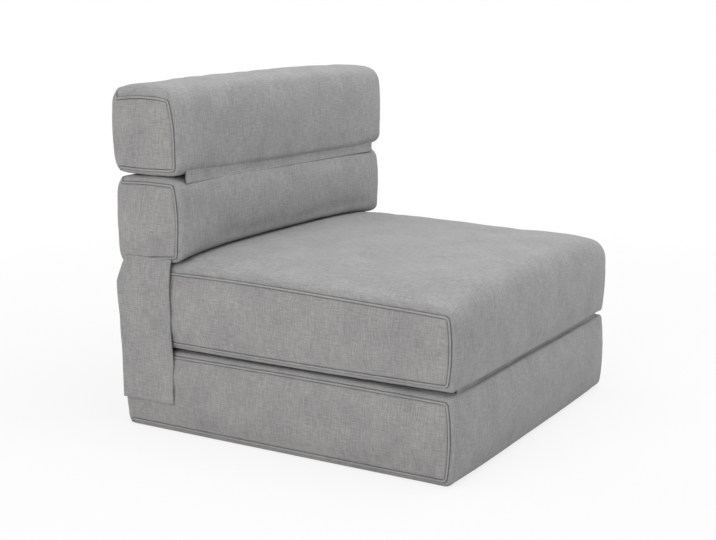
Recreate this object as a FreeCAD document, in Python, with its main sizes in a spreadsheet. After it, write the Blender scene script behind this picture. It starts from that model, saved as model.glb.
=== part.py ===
import FreeCAD, Part
import math
import os
from collections import namedtuple

import Sketcher
from FreeCAD import Placement, Rotation, Vector

# Folding chair bed in millimetres: four foam cushions hinged edge to edge.
# +Z is up, the front faces -Y, and the origin is on the floor under the middle.

SIZES = {
    # Overall envelope of the cushions
    "overall_width": 750,
    "overall_depth": 756,
    "bolster_depth": 168,
    "cushion_height": 169,
    "stack_gap": 2,
    # How far each face swells between its edges
    "end_crown": 4,
    "front_crown": 6,
    "rear_crown": 8,
    "top_crown": 6,
    "contact_crown": 3,
    # How far the cushions draw in towards their ends
    "draw_in": 4.5,
    "seat_top_draw_in": 12,
    # Round edges
    "corner_radius": 22,
    "hinge_corner_radius": 18,
    "seat_front_radius": 38,
    "end_radius": 8,
    # Cover, welt and foam
    "cover_thickness": 2,
    "foam_gap": 0.9,
    "seam_inset": 11.5,
    "piping_radius": 2.2,
    "seam_gap": 0.6,
    "floor_trim": 0.5,
    # Zip in the rear face
    "zip_length": 500,
    "zip_opening": 16,
    "zip_recess": 2,
    "zip_side_gap": 0.7,
    "zip_tape_thickness": 1,
    "zip_coil_radius": 1.2,
    "slider_length": 12,
    "slider_width": 9,
    "slider_gap": 0.3,
    "pull_length": 26,
    "pull_width": 6,
    "pull_thickness": 1,
    # Hinge strips
    "strip_thickness": 1.5,
    "strip_gap": 0.5,
    "strip_end_margin": 24,
    "strip_reach": 24,
    "front_strip_depth": 8,
    "rear_strip_depth": 8,
    "headrest_strip_depth": 6.5,
    # Side flaps with their hook and loop patches
    "flap_thickness": 1.6,
    "flap_standoff": 3,
    "flap_top_length": 114,
    "flap_bottom_length": 120,
    "flap_top_rear_margin": 21,
    "flap_bottom_rear_margin": 8,
    "flap_bottom_height": 60,
    "flap_bend_drop": 13,
    "flap_sewn_gap": 0.4,
    "patch_height": 35,
    "patch_length": 76,
    "patch_thickness": 1.2,
    "patch_gap": 0.3,
    "patch_overhang": 1.5,
}

# Powers and shares that give the cushions their pillow shape along X.
# A section at a share of the half width draws in by the share to this power.
DRAW_POWER = 5
SECTION_SHARES = (-1, -0.8, -0.5, 0, 0.5, 0.8, 1)
# Angles of the sections that turn a cover round its ends
END_TURN = (30, 60, 90)
# Domed end panel: share of the crown reached at each ring, and how far in the ring
# lies as a share of the cushion's height
DOME_RINGS = ((0, 0), (0.65, 0.09), (1, 0.22))
SMALLEST_RADIUS = 1.5

# A cushion's sides run bottom, rear, top, front. Each side has a crown, except the
# base's flat bottom, and each is followed by a round corner: rear bottom, rear top,
# front top, front bottom.
Cushion = namedtuple("Cushion", "name level front crowns corners top_draw_in")
BOLSTER_FRONT = "(Sizes.overall_depth / 2 - Sizes.bolster_depth)"
CUSHIONS = (
    Cushion(
        "base", 0, "(-Sizes.overall_depth / 2)",
        (None, "rear_crown", "contact_crown", "front_crown"),
        ("corner_radius", "corner_radius", "hinge_corner_radius", "corner_radius"),
        "draw_in",
    ),
    Cushion(
        "seat", 1, "(-Sizes.overall_depth / 2)",
        ("contact_crown", "rear_crown", "top_crown", "front_crown"),
        ("corner_radius", "corner_radius", "seat_front_radius", "hinge_corner_radius"),
        "seat_top_draw_in",
    ),
    Cushion(
        "backrest", 2, BOLSTER_FRONT,
        ("contact_crown", "rear_crown", "contact_crown", "front_crown"),
        ("corner_radius", "corner_radius", "corner_radius", "corner_radius"),
        "draw_in",
    ),
    Cushion(
        "headrest", 3, BOLSTER_FRONT,
        ("contact_crown", "rear_crown", "top_crown", "front_crown"),
        ("corner_radius", "corner_radius", "corner_radius", "corner_radius"),
        "draw_in",
    ),
)
BASE, SEAT, BACKREST, HEADREST = CUSHIONS
TOP = 2
SIDES = (("left", -1), ("right", 1))

REAR = "(Sizes.overall_depth / 2)"
HALF = "(Sizes.overall_width / 2 - Sizes.end_crown)"
END_START = f"({HALF} - Sizes.end_radius)"
PIPING_REACH = "(Sizes.piping_radius + Sizes.seam_gap)"
FOAM_INSET = "(Sizes.cover_thickness + Sizes.foam_gap)"

doc = FreeCAD.newDocument("ChairBed")
sheet = doc.addObject("Spreadsheet::Sheet", "Sizes")
for row, (alias, value) in enumerate(SIZES.items(), start=1):
    sheet.set(f"A{row}", alias)
    sheet.set(f"B{row}", str(value))
    sheet.setAlias(f"B{row}", alias)
doc.recompute()


def number(expression):
    """The value of an expression of the sheet, as a plain number."""
    result = sheet.evalExpression(expression)
    return float(getattr(result, "Value", result))


def bottom_of(cushion):
    return f"({cushion.level} * (Sizes.cushion_height + Sizes.stack_gap))"


def top_of(cushion):
    return f"({bottom_of(cushion)} + Sizes.cushion_height)"


def middle_of(cushion):
    return f"({bottom_of(cushion)} + Sizes.cushion_height / 2)"


def bind(feature, **expressions):
    """Bind a feature's properties, or its place, to expressions of the sheet."""
    for name, expression in expressions.items():
        feature.setExpression(name.replace("__", "."), expression)


class Dimensions:
    """The constraints of one sketch, added in one go and then bound to the sheet."""

    def __init__(self, sketch):
        self.sketch = sketch
        self.constraints = []
        self.expressions = {}

    def add(self, kind, *references):
        self.constraints.append(Sketcher.Constraint(kind, *references))

    def drive(self, kind, references, expression, label):
        constraint = Sketcher.Constraint(kind, *references, number(expression))
        constraint.Name = label
        self.constraints.append(constraint)
        self.expressions["Constraints." + label] = expression

    def finish(self):
        self.sketch.addConstraint(self.constraints)
        for path, expression in self.expressions.items():
            self.sketch.setExpression(path, expression)


def new_body(name):
    body = doc.addObject("PartDesign::Body", name)
    body.Label = name
    return body


def plane_of(body, role):
    for feature in body.Origin.OriginFeatures:
        if feature.Role == role:
            return feature
    raise ValueError(role)


def sketch_on(body, role, name, offset):
    """A sketch on one of the body's own planes, moved along the plane's normal."""
    sketch = body.newObject("Sketcher::SketchObject", name)
    sketch.AttachmentSupport = [(plane_of(body, role), "")]
    sketch.MapMode = "FlatFace"
    sketch.setExpression("AttachmentOffset.Base.z", offset)
    return sketch


def side_arcs(cushion, inset, pinch):
    """Centre and radius expressions of the four sides. A straight side has no radius."""
    front = f"({cushion.front} + {inset} + Sizes.draw_in * {pinch})"
    rear = f"({REAR} - {inset} - Sizes.draw_in * {pinch})"
    top = f"({top_of(cushion)} - {inset} - Sizes.{cushion.top_draw_in} * {pinch})"
    lift = f"Sizes.draw_in * {pinch}" if cushion.crowns[0] else "-Sizes.floor_trim"
    bottom = f"({bottom_of(cushion)} + {inset} + {lift})"
    middle_y = f"(({front} + {rear}) / 2)"
    middle_z = f"(({bottom} + {top}) / 2)"
    bends = []
    for crown, span in zip(cushion.crowns, (f"{rear} - {front}", f"{top} - {bottom}") * 2):
        bends.append(f"(({span})^2 / (8 * Sizes.{crown}) + Sizes.{crown} / 2)" if crown else None)
    return (
        (middle_y, f"({bottom} + {bends[0]})" if bends[0] else bottom, bends[0]),
        (f"({rear} - {bends[1]})", middle_z, bends[1]),
        (middle_y, f"({top} - {bends[2]})", bends[2]),
        (f"({front} + {bends[3]})", middle_z, bends[3]),
    )


# For the corner after each side: its level side, its upright side, and the way it
# points along Y and Z
CORNERS = ((0, 1, 1, -1), (2, 1, 1, 1), (2, 3, -1, 1), (0, 3, -1, -1))
CENTRE_ROUNDS = 30


def corner_centre(level, upright, way_y, way_z, radius):
    """Centre of the round corner that is tangent to a level and an upright side."""
    if level[2] is None:
        z = level[1] - way_z * radius
    else:
        z = level[1] + way_z * (level[2] - radius)
    for _ in range(CENTRE_ROUNDS):
        y = upright[0] + way_y * math.sqrt((upright[2] - radius) ** 2 - (z - upright[1]) ** 2)
        if level[2] is not None:
            z = level[1] + way_z * math.sqrt((level[2] - radius) ** 2 - (y - level[0]) ** 2)
    return y, z


def touch_point(side, centre):
    """Where a round corner meets a side."""
    if side[2] is None:
        return centre[0], side[1]
    across, up = centre[0] - side[0], centre[1] - side[1]
    scale = side[2] / math.hypot(across, up)
    return side[0] + across * scale, side[1] + up * scale


def arc_between(centre, radius, start, end):
    first = math.atan2(start[1] - centre[1], start[0] - centre[0])
    last = math.atan2(end[1] - centre[1], end[0] - centre[0])
    circle = Part.Circle(Vector(centre[0], centre[1], 0), Vector(0, 0, 1), radius)
    return Part.ArcOfCircle(circle, first, last)


def draw_outline(sketch, cushion, inset, pinch, split_top=False):
    """Closed pillow outline of tangent arcs: four crowned sides and four round corners.

    The top can be split at its highest point, where a swept cord starts.
    """
    sides = side_arcs(cushion, inset, pinch)
    values = [[number(item) if item else None for item in side] for side in sides]
    radius_texts = [f"max(Sizes.{name} - ({inset}); {SMALLEST_RADIUS})" for name in cushion.corners]
    radii = [number(text) for text in radius_texts]
    centres = [
        corner_centre(values[level], values[upright], way_y, way_z, radius)
        for (level, upright, way_y, way_z), radius in zip(CORNERS, radii)
    ]
    dimensions = Dimensions(sketch)
    chain = []
    for index, side in enumerate(values):
        start = touch_point(side, centres[index - 1])
        end = touch_point(side, centres[index])
        if side[2] is None:
            line = Part.LineSegment(Vector(*start, 0), Vector(*end, 0))
            place = sketch.addGeometry(line, False)
            dimensions.add("Horizontal", place)
            dimensions.drive("DistanceY", (-1, 1, place, 1), sides[index][1], "bottom_level")
        elif split_top and index == TOP:
            peak = (side[0], side[1] + side[2])
            first_half = sketch.addGeometry(arc_between(side, side[2], start, peak), False)
            chain.append(first_half)
            place = sketch.addGeometry(arc_between(side, side[2], peak, end), False)
            dimensions.add("Coincident", first_half, 3, place, 3)
            dimensions.add("Coincident", first_half, 2, place, 1)
            dimensions.drive("DistanceX", (-1, 1, place, 1), sides[index][0], "peak_place")
            drive_arc(dimensions, place, sides[index], f"side_{index}")
        else:
            place = sketch.addGeometry(arc_between(side, side[2], start, end), False)
            drive_arc(dimensions, place, sides[index], f"side_{index}")
        chain.append(place)
        after = touch_point(values[(index + 1) % 4], centres[index])
        corner = sketch.addGeometry(arc_between(centres[index], radii[index], end, after), False)
        dimensions.drive("Radius", (corner,), radius_texts[index], f"corner_{index}")
        chain.append(corner)
    halves = (chain[2 * TOP], chain[2 * TOP + 1])
    for first, second in zip(chain, chain[1:] + chain[:1]):
        if not (split_top and (first, second) == halves):
            dimensions.add("Tangent", first, 2, second, 1)
    dimensions.finish()


def drive_arc(dimensions, place, side, label):
    dimensions.drive("DistanceX", (-1, 1, place, 3), side[0], label + "_y")
    dimensions.drive("DistanceY", (-1, 1, place, 3), side[1], label + "_z")
    dimensions.drive("Radius", (place,), side[2], label + "_bend")


def pinch_at(x):
    """Share of the full draw-in at a distance from the middle."""
    return f"(abs({x}) / {HALF})^{DRAW_POWER}"


def section(body, cushion, x, inset, pinch=None):
    sketch = sketch_on(body, "YZ_Plane", f"{body.Label}_section", x)
    draw_outline(sketch, cushion, inset, pinch or pinch_at(x))
    return sketch


def loft(body, kind, sections, ruled=False):
    feature = body.newObject("PartDesign::" + kind, f"{body.Label}_loft")
    feature.Profile = sections[0]
    feature.Sections = sections[1:]
    feature.Ruled = ruled
    feature.Refine = False
    doc.recompute()
    return feature


def pillow(body, cushion):
    """Outside of a cover: a smooth crowned middle that turns round at both ends."""
    middle = [section(body, cushion, f"({share} * {END_START})", "0") for share in SECTION_SHARES]
    loft(body, "AdditiveLoft", middle)
    for start, sign in ((middle[0], -1), (middle[-1], 1)):
        turn = [start]
        for angle in END_TURN:
            x = f"({sign} * ({END_START} + Sizes.end_radius * sin({angle} deg)))"
            turn.append(section(body, cushion, x, f"(Sizes.end_radius * (1 - cos({angle} deg)))"))
        loft(body, "AdditiveLoft", turn)


def core(body, kind, cushion, inset, end, tail=()):
    """Inside form with slanted ends: the foam, or the hollow that holds it.

    The tail gives further rings beyond each end as pairs of a place and an inset.
    """
    rings = [(f"({share} * {END_START})", inset) for share in SECTION_SHARES]
    for x, ring_inset in ((end, "Sizes.end_radius"),) + tuple(tail):
        rings.insert(0, (f"(-1 * {x})", ring_inset))
        rings.append((x, ring_inset))
    return loft(body, kind, [section(body, cushion, *ring) for ring in rings], ruled=True)


def box_in(body, kind, name, low, size):
    """A box of a body from its low corner and its three sizes."""
    feature = body.newObject("PartDesign::" + kind, name)
    bind(feature, Length=size[0], Width=size[1], Height=size[2])
    bind(feature, Placement__Base__x=low[0], Placement__Base__y=low[1])
    bind(feature, Placement__Base__z=low[2])
    doc.recompute()
    return feature


def make_cover(cushion):
    """Sewn sleeve: round-ended outside, hollow inside, open at the end seams and the zip."""
    body = new_body(f"{cushion.name}_cover")
    pillow(body, cushion)
    opening = f"(Sizes.seam_inset - {PIPING_REACH})"
    core(
        body, "SubtractiveLoft", cushion, "Sizes.cover_thickness",
        f"({HALF} - Sizes.cover_thickness)",
        tail=((f"({HALF} - Sizes.cover_thickness / 2)", opening), (f"({HALF} + 1)", opening)),
    )
    box_in(
        body, "SubtractiveBox", f"{cushion.name}_zip_opening",
        (
            "-Sizes.zip_length / 2",
            f"{REAR} - 2 * Sizes.cover_thickness",
            f"{middle_of(cushion)} - Sizes.zip_opening / 2",
        ),
        ("Sizes.zip_length", "3 * Sizes.cover_thickness", "Sizes.zip_opening"),
    )
    if not cushion.crowns[0]:
        box_in(
            body, "SubtractiveBox", f"{cushion.name}_floor_cut",
            (f"-1 * {HALF}", cushion.front, "-2 * Sizes.floor_trim"),
            (f"2 * {HALF}", "Sizes.overall_depth", "2 * Sizes.floor_trim"),
        )
    return body


def make_foam_core(cushion):
    """Foam block with slanted ends and a shallow channel behind the zip."""
    body = new_body(f"{cushion.name}_foam_core")
    core(body, "AdditiveLoft", cushion, FOAM_INSET, f"({HALF} - {FOAM_INSET})")
    box_in(
        body, "SubtractiveBox", f"{cushion.name}_zip_channel",
        (
            "-Sizes.zip_length / 2",
            f"{REAR} - {FOAM_INSET} - Sizes.zip_recess",
            f"{middle_of(cushion)} - Sizes.zip_opening / 2",
        ),
        ("Sizes.zip_length", "2 * Sizes.zip_recess", "Sizes.zip_opening"),
    )
    return body


def make_end_panel(cushion, side, sign):
    """Fabric panel of one end, domed outward over its foam."""
    body = new_body(f"{cushion.name}_{side}_end_panel")
    edge = f"(Sizes.seam_inset + {PIPING_REACH})"
    back = f"({sign} * ({HALF} - Sizes.cover_thickness))"
    rings = []
    for share, further in DOME_RINGS:
        x = f"({sign} * ({HALF} + {share} * Sizes.end_crown))"
        inset = f"({edge} + {further} * Sizes.cushion_height)"
        rings.append(section(body, cushion, x, inset, pinch="1"))
    loft(body, "AdditiveLoft", [section(body, cushion, back, edge, pinch="1"), rings[0]], ruled=True)
    loft(body, "AdditiveLoft", rings)
    return body


def make_piping(cushion, side, sign):
    """Round welt cord that runs once round the end seam."""
    body = new_body(f"{cushion.name}_{side}_piping")
    path = sketch_on(body, "YZ_Plane", f"{body.Label}_path", f"({sign} * {HALF})")
    draw_outline(path, cushion, "Sizes.seam_inset", "1", split_top=True)
    middle_y = f"(({cushion.front} + {REAR}) / 2)"
    profile = sketch_on(body, "XZ_Plane", f"{body.Label}_profile", f"-1 * {middle_y}")
    height = f"({top_of(cushion)} - Sizes.seam_inset - Sizes.{cushion.top_draw_in})"
    reach = f"({sign} * {HALF})"
    draw_circle(profile, reach, height, "Sizes.piping_radius")
    feature = body.newObject("PartDesign::AdditivePipe", f"{body.Label}_sweep")
    feature.Profile = profile
    feature.Spine = (path, [])
    doc.recompute()
    return body


def draw_circle(sketch, across, up, radius):
    centre = Vector(number(across), number(up), 0)
    place = sketch.addGeometry(Part.Circle(centre, Vector(0, 0, 1), number(radius)), False)
    dimensions = Dimensions(sketch)
    dimensions.drive("DistanceX", (-1, 1, place, 3), across, "across")
    dimensions.drive("DistanceY", (-1, 1, place, 3), up, "up")
    dimensions.drive("Radius", (place,), radius, "radius")
    dimensions.finish()


def solid_box(name, low, size):
    """A free box of the document from its low corner and its three sizes."""
    box = doc.addObject("Part::Box", name)
    bind(box, Length=size[0], Width=size[1], Height=size[2])
    bind(box, Placement__Base__x=low[0], Placement__Base__y=low[1])
    bind(box, Placement__Base__z=low[2])
    return box


def solid_cylinder(name, base, axis, radius, height):
    """A free cylinder from the middle of its base, along an axis."""
    cylinder = doc.addObject("Part::Cylinder", name)
    cylinder.Placement = Placement(Vector(), Rotation(Vector(0, 0, 1), Vector(*axis)))
    bind(cylinder, Radius=radius, Height=height)
    bind(cylinder, Placement__Base__x=base[0], Placement__Base__y=base[1])
    bind(cylinder, Placement__Base__z=base[2])
    return cylinder


def joined(name, pieces):
    fusion = doc.addObject("Part::MultiFuse", name)
    fusion.Label = name
    fusion.Shapes = pieces
    return fusion


ZIP_BACK = f"({REAR} - {FOAM_INSET} - Sizes.zip_recess + Sizes.zip_side_gap)"
ZIP_FACE = f"({ZIP_BACK} + Sizes.zip_tape_thickness)"
SLIDER_BACK = f"({ZIP_FACE} + Sizes.zip_coil_radius + Sizes.slider_gap)"
CHAIN_START = "(-Sizes.zip_length / 2 + Sizes.zip_side_gap)"


def make_zip_chain(cushion):
    """Flat zip tapes with the closed coil as a rib along their middle."""
    name = f"{cushion.name}_zip_chain"
    width = "(Sizes.zip_opening - 2 * Sizes.zip_side_gap)"
    length = "(Sizes.zip_length - 2 * Sizes.zip_side_gap)"
    tape = solid_box(
        name + "_tape",
        (CHAIN_START, ZIP_BACK, f"{middle_of(cushion)} - {width} / 2"),
        (length, "Sizes.zip_tape_thickness", width),
    )
    coil = solid_cylinder(
        name + "_coil",
        (CHAIN_START, ZIP_FACE, middle_of(cushion)),
        (1, 0, 0), "Sizes.zip_coil_radius", length,
    )
    return joined(name, [tape, coil])


def make_zip_slider(cushion):
    """Slider block on the coil with its pull tab lying along the zip."""
    name = f"{cushion.name}_zip_slider"
    middle = middle_of(cushion)
    block = solid_box(
        name + "_block",
        (CHAIN_START, SLIDER_BACK, f"{middle} - Sizes.slider_width / 2"),
        ("Sizes.slider_length", f"{REAR} - {SLIDER_BACK}", "Sizes.slider_width"),
    )
    pull_start = f"({CHAIN_START} + Sizes.slider_length / 2)"
    pull_back = f"({REAR} - Sizes.pull_thickness)"
    straight = "(Sizes.pull_length - Sizes.pull_width / 2)"
    pull = solid_box(
        name + "_pull",
        (pull_start, pull_back, f"{middle} - Sizes.pull_width / 2"),
        (straight, "Sizes.pull_thickness", "Sizes.pull_width"),
    )
    tip = solid_cylinder(
        name + "_tip",
        (f"{pull_start} + {straight}", pull_back, middle),
        (0, 1, 0), "Sizes.pull_width / 2", "Sizes.pull_thickness",
    )
    return joined(name, [block, pull, tip])


def make_hinge_strip(name, lower, upper, near, far):
    """Fabric band in the groove between two cushions, trimmed to the round edges of both."""
    body = new_body(name)
    reach = f"({HALF} - Sizes.strip_end_margin)"
    groove = f"({top_of(lower)} + Sizes.stack_gap / 2)"
    box_in(
        body, "AdditiveBox", f"{name}_band",
        (f"-1 * {reach}", near, f"{groove} - Sizes.strip_reach"),
        (f"2 * {reach}", f"{far} - {near}", "2 * Sizes.strip_reach"),
    )
    for cushion in (lower, upper):
        sections = [
            section(body, cushion, f"({share} * {END_START})", "(-Sizes.strip_gap)")
            for share in SECTION_SHARES
        ]
        loft(body, "SubtractiveLoft", sections)
    return body


SEAM_RISE = "(Sizes.draw_in + Sizes.seam_inset)"
FLAP_TOP = f"({bottom_of(BACKREST)} + {SEAM_RISE})"
FLAP_FACE = "(Sizes.overall_width / 2 + Sizes.flap_standoff)"
PATCH_FRONT = f"({REAR} - Sizes.flap_bottom_rear_margin - Sizes.flap_bottom_length)"


def draw_rectangle(sketch, low_x, high_x, low_y, high_y):
    """Level rectangle, driven at two opposite corners."""
    xs, ys = (number(low_x), number(high_x)), (number(low_y), number(high_y))
    corners = [(xs[0], ys[0]), (xs[1], ys[0]), (xs[1], ys[1]), (xs[0], ys[1])]
    for start, end in zip(corners, corners[1:] + corners[:1]):
        sketch.addGeometry(Part.LineSegment(Vector(*start, 0), Vector(*end, 0)), False)
    dimensions = Dimensions(sketch)
    for index in range(4):
        dimensions.add("Coincident", index, 2, (index + 1) % 4, 1)
        dimensions.add("Horizontal" if index % 2 == 0 else "Vertical", index)
    dimensions.drive("DistanceX", (-1, 1, 0, 1), low_x, "low_x")
    dimensions.drive("DistanceY", (-1, 1, 0, 1), low_y, "low_y")
    dimensions.drive("DistanceX", (-1, 1, 1, 2), high_x, "high_x")
    dimensions.drive("DistanceY", (-1, 1, 1, 2), high_y, "high_y")
    dimensions.finish()


def make_flap(side, sign):
    """Side flap: sewn at the end seam above the seat, bent clear of it, hanging to the base."""
    body = new_body(f"{side}_side_flap")
    bend = f"({FLAP_TOP} - Sizes.flap_bend_drop)"
    sewn_face = f"({HALF} + Sizes.piping_radius + Sizes.flap_sewn_gap)"
    fall = f"(Sizes.flap_bend_drop / ({FLAP_TOP} - Sizes.flap_bottom_height))"

    def blended(top, bottom):
        return f"({top} + ({bottom} - {top}) * {fall})"

    top_margin, bottom_margin = "Sizes.flap_top_rear_margin", "Sizes.flap_bottom_rear_margin"
    top_length, bottom_length = "Sizes.flap_top_length", "Sizes.flap_bottom_length"
    levels = (
        ("Sizes.flap_bottom_height", FLAP_FACE, bottom_margin, bottom_length),
        (bend, FLAP_FACE, blended(top_margin, bottom_margin), blended(top_length, bottom_length)),
        (FLAP_TOP, sewn_face, top_margin, top_length),
    )
    sketches = []
    for index, (height, face, margin, length) in enumerate(levels):
        sketch = sketch_on(body, "XY_Plane", f"{body.Label}_level_{index}", height)
        inner, outer = f"({sign} * {face})", f"({sign} * ({face} + Sizes.flap_thickness))"
        low_x, high_x = (inner, outer) if sign > 0 else (outer, inner)
        rear_edge = f"({REAR} - {margin})"
        draw_rectangle(sketch, low_x, high_x, f"({rear_edge} - {length})", rear_edge)
        sketches.append(sketch)
    loft(body, "AdditiveLoft", sketches, ruled=True)
    return body


def make_patch(sign, name, face, front):
    """Flat patch of hook or loop tape, from its inner face outward."""
    low_x = face if sign > 0 else f"(-1 * {face} - Sizes.patch_thickness)"
    patch = solid_box(
        name,
        (low_x, front, "Sizes.flap_bottom_height"),
        ("Sizes.patch_thickness", "Sizes.patch_length", "Sizes.patch_height"),
    )
    patch.Label = name
    return patch


pieces = []
for cushion in CUSHIONS:
    pieces.append(make_cover(cushion))
    pieces.append(make_foam_core(cushion))
    for side, sign in SIDES:
        pieces.append(make_end_panel(cushion, side, sign))
        pieces.append(make_piping(cushion, side, sign))
    pieces.append(make_zip_chain(cushion))
    pieces.append(make_zip_slider(cushion))

for name, lower, upper, near in (
    ("front_hinge_strip", BASE, SEAT, f"({SEAT.front} + Sizes.front_strip_depth)"),
    ("headrest_hinge_strip", BACKREST, HEADREST, f"({HEADREST.front} + Sizes.headrest_strip_depth)"),
):
    pieces.append(make_hinge_strip(name, lower, upper, near, f"({near} + Sizes.strip_thickness)"))
rear_far = f"({REAR} - Sizes.rear_strip_depth)"
rear_near = f"({rear_far} - Sizes.strip_thickness)"
pieces.append(make_hinge_strip("rear_hinge_strip", SEAT, BACKREST, rear_near, rear_far))

for side, sign in SIDES:
    pieces.append(make_flap(side, sign))
    hook_face = f"({FLAP_FACE} - Sizes.patch_thickness)"
    loop_face = f"({hook_face} - Sizes.patch_gap - Sizes.patch_thickness)"
    hook_front = f"({PATCH_FRONT} - Sizes.patch_overhang)"
    pieces.append(make_patch(sign, f"{side}_hook_patch", hook_face, hook_front))
    pieces.append(make_patch(sign, f"{side}_loop_patch", loop_face, PATCH_FRONT))

doc.recompute()
os.makedirs("parts", exist_ok=True)
for item in doc.Objects:
    if "Invalid" in item.State or "Error" in item.State:
        raise RuntimeError(f"{item.Label} failed: {item.State}")
for piece in pieces:
    if piece.Shape.isNull() or not piece.Shape.isValid():
        raise RuntimeError(f"{piece.Label} has no valid shape")
    if len(piece.Shape.Solids) != 1:
        raise RuntimeError(f"{piece.Label} has {len(piece.Shape.Solids)} solids")
for piece in pieces:
    piece.Shape.exportStep(f"parts/{piece.Label}.step")
    print(piece.Label, round(piece.Shape.Volume))
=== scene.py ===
import math

import bmesh
import bpy
import numpy as np
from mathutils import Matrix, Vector
from mathutils.kdtree import KDTree


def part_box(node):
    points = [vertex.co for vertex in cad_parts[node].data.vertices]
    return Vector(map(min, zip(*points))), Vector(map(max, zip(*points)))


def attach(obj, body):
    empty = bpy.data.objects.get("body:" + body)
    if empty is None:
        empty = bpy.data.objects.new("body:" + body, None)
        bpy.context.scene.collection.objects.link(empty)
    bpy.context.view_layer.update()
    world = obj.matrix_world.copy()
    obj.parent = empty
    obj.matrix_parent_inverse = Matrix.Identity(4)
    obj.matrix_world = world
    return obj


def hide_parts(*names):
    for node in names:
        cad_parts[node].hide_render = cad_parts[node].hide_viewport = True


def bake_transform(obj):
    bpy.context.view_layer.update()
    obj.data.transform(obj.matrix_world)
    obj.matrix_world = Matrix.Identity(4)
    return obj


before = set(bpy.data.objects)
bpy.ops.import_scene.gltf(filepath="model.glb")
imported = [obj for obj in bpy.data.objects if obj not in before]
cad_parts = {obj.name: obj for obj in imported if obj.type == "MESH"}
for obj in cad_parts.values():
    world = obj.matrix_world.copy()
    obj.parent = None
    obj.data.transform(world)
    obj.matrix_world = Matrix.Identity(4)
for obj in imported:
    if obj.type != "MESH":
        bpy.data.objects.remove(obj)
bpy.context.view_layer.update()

# Lengths below are in millimetres; meshes are made in metres.
MM = 0.001
scene = bpy.context.scene


# ---------------------------------------------------------------- materials
class Nodes:
    """The node tree of a material or world, built up one node at a time."""

    def __init__(self, owner):
        owner.use_nodes = True
        self.owner = owner
        self.tree = owner.node_tree
        self.tree.nodes.clear()

    def add(self, kind, sockets=None, **settings):
        node = self.tree.nodes.new("ShaderNode" + kind)
        for key, value in settings.items():
            setattr(node, key, value)
        for key, value in (sockets or {}).items():
            if isinstance(value, bpy.types.NodeSocket):
                self.tree.links.new(value, node.inputs[key])
            else:
                node.inputs[key].default_value = value
        return node

    def math(self, operation, *values):
        return self.add("Math", dict(enumerate(values)), operation=operation).outputs[0]

    def stretched(self, source, u, v, detail=2.0, rough=0.55):
        """Noise whose grains are u by v millimetres, for a source in metres."""
        place = self.add("Mapping", {"Vector": source, "Scale": (1 / (u * MM), 1 / (v * MM), 1)})
        grain = {"Vector": place.outputs[0], "Scale": 1.0, "Detail": detail, "Roughness": rough}
        return self.add("TexNoise", grain).outputs["Fac"]

    def spread(self, value, low, high, to_low, to_high):
        limits = {0: value, 1: low, 2: high, 3: to_low, 4: to_high}
        return self.add("MapRange", limits, clamp=True).outputs[0]

    def mixed(self, share, first, second, kind="MIX"):
        sockets = {0: share, 6: first, 7: second}  # the colour pair of the Mix node
        return self.add("Mix", sockets, data_type="RGBA", blend_type=kind).outputs[2]

    def white_share(self):
        """One for the rays that see the white backdrop: camera, glossy and transmission rays."""
        rays = self.add("LightPath").outputs
        seen = self.math("MAXIMUM", rays["Is Camera Ray"], rays["Is Glossy Ray"])
        return self.math("MAXIMUM", seen, rays["Is Transmission Ray"])

    def finish(self, shader, kind="OutputMaterial"):
        self.add(kind, {"Surface": shader.outputs[0]})
        return self.owner


def new_material(name):
    return Nodes(bpy.data.materials.new(name))


def grey(value, warmth=0.0):
    """A linear colour near grey; warmth above nought leans to red."""
    return (value * (1 + warmth), value, value * (1 - warmth), 1)


def woven(name, light, dark, pitch=1.9, streak=0.12, relief=0.34, sheen=0.18, fade=0.065):
    """Heathered plain weave. Threads follow the cut of the cloth, whose UV map is in metres."""
    n = new_material(name)
    uv = n.add("UVMap", uv_map="weave").outputs[0]
    place = n.add("TexCoord").outputs["Object"]
    warp, weft = n.stretched(uv, 2.0, 21), n.stretched(uv, 21, 2.0)
    slub = n.stretched(uv, 3.2, 60, 1.0)
    fleck = n.stretched(uv, 3.2, 3.2, 1.0)
    cloud = n.add("TexNoise", {"Vector": place, "Scale": 13.0, "Detail": 2.5}).outputs["Fac"]
    axes = n.add("SeparateXYZ", {0: uv})
    turns = [n.math("MULTIPLY", axes.outputs[i], math.tau / (pitch * MM)) for i in (0, 1)]
    cross = n.math("MULTIPLY", *(n.math("SINE", turn) for turn in turns))
    threads = n.math("ADD", n.math("MULTIPLY", warp, 0.5), n.math("MULTIPLY", weft, 0.5))
    threads = n.math("ADD", n.math("MULTIPLY", threads, 0.72), n.math("MULTIPLY", slub, 0.16))
    threads = n.math("ADD", threads, n.math("MULTIPLY", fleck, 0.12))
    threads = n.math("ADD", threads, n.math("MULTIPLY", cross, 0.012))
    share = n.spread(threads, 0.5 - streak, 0.5 + streak, 0.0, 1.0)
    colour = n.mixed(share, dark, light)
    # Clouds of tone, a little weaker in blue
    patch, blue = (n.spread(cloud, 0.3, 0.7, 1 - part, 1 + part) for part in (fade, 0.88 * fade))
    shade = n.add("CombineColor", {0: patch, 1: patch, 2: blue})
    colour = n.mixed(1.0, colour, shade.outputs[0], "MULTIPLY")
    height = n.math("ADD", n.math("MULTIPLY", cross, 0.22), n.math("MULTIPLY", threads, 1.0))
    bump = n.add("Bump", {"Height": height, "Strength": relief, "Distance": 0.9 * MM})
    rough = n.spread(threads, 0.3, 0.7, 0.82, 0.96)
    shader = n.add("BsdfPrincipled", {
        "Base Color": colour, "Roughness": rough, "Normal": bump.outputs[0],
        "Sheen Weight": sheen, "Sheen Roughness": 0.5, "Specular IOR Level": 0.22,
    })
    return n.finish(shader)


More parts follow.
